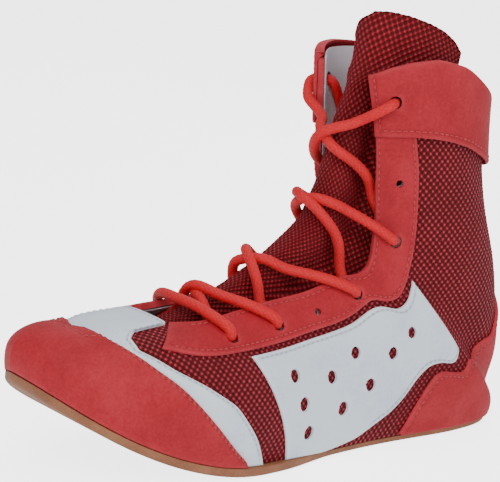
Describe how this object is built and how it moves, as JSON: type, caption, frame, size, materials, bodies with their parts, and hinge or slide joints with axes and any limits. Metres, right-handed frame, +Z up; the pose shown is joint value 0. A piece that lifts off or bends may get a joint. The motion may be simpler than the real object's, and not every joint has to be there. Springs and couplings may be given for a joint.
{
  "type": "boxing boot",
  "caption": "Left ankle-high lace-up boxing boot with leather toe cap and eyestays, open mesh quarters, a perforated side panel and a thin curled-up rubber sole.",
  "frame": {"origin": "on the flat underside of the outsole, on the boot's centre line, 100 mm in front of the back of the heel", "axes": "+Z up, -Y towards the toe, +X towards the outer (lateral) side of this left boot"},
  "size_m": [0.095, 0.2782, 0.2068],
  "materials": {
    "gum_rubber": "smooth gum rubber",
    "red_leather": "napped",
    "red_mesh": "open-weave",
    "white_leather": "smooth",
    "lining_cloth": "knitted",
    "board": "fibre board",
    "stiffener": "matt",
    "lace_cord": "braided",
    "lace_tip": "gloss"
  },
  "bodies": {
    "boot": {"outsole": "gum_rubber", "lasting_board": "board", "sock_liner": "lining_cloth", "vamp_lining": "lining_cloth", "quarter_lining_lateral": "lining_cloth", "quarter_lining_medial": "lining_cloth", "toe_puff": "stiffener", "heel_stiffener": "stiffener", "vamp_mesh_lateral": "red_mesh", "vamp_mesh_medial": "red_mesh", "quarter_mesh_lateral": "red_mesh", "quarter_mesh_medial": "red_mesh", "toe_cap": "red_leather", "vamp_strip": "white_leather", "eyestay_lateral": "red_leather", "eyestay_medial": "red_leather", "side_panel_lateral": "white_leather", "side_panel_medial": "white_leather", "heel_cover": "red_leather", "collar_band": "red_leather", "lace": "lace_cord", "aglet_first": "lace_tip", "aglet_second": "lace_tip"},
    "tongue": {"tongue": "red_mesh", "tongue_lining": "lining_cloth"}
  },
  "joints": [
    {"name": "tongue_hinge", "type": "hinge", "parent": "boot", "child": "tongue", "pos_m": [-0.0026, -0.1185, 0.0612], "axis": [-1, 0, 0], "range_deg": [0, 5]}
  ]
}
